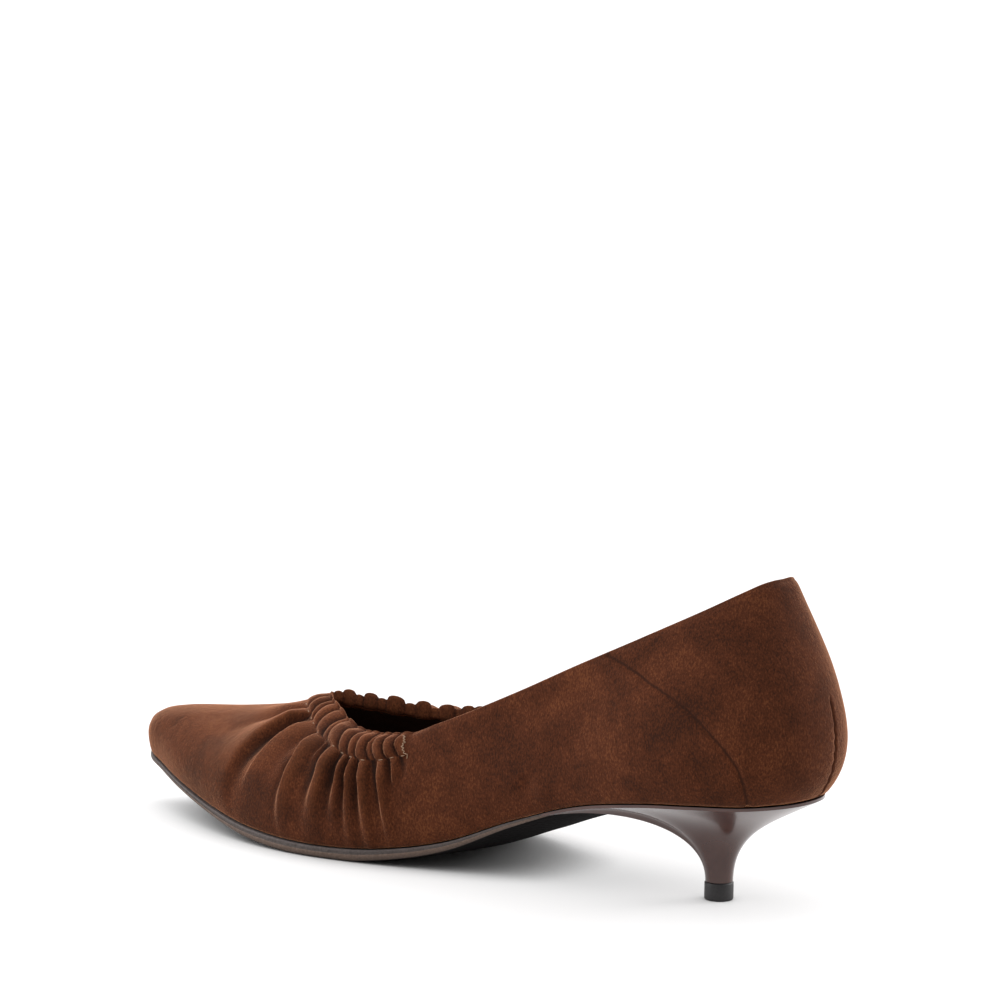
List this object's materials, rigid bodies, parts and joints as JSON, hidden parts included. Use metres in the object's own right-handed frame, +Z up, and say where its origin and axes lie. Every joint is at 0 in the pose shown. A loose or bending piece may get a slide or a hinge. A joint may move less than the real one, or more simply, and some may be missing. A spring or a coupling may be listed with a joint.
{
  "type": "women's kitten-heel pump",
  "caption": "Pointed suede pump with a gathered elastic collar round the throat, a slim outsole and a low flared lacquered heel: one right shoe, hollow inside",
  "frame": {"origin": "middle of the box's underside, on the floor the shoe stands on", "axes": "+X from heel to toe, +Y to the inner (big toe) side of this right shoe, +Z up"},
  "size_m": [0.2636, 0.081, 0.1009],
  "materials": {
    "suede": "brown suede with a short directional nap, matte",
    "sock": "dark brown smooth lining leather, soft sheen",
    "sole": "dark taupe sole with a paler trimmed edge, fine matte tread",
    "heel_lacquer": "mauve-brown lacquer, glossy",
    "lift": "black wear-resistant top lift, satin"
  },
  "bodies": {
    "root": {"upper": "suede", "insole": "sock", "outsole": "sole", "heel": "heel_lacquer", "top_lift": "lift"}
  },
  "joints": []
}
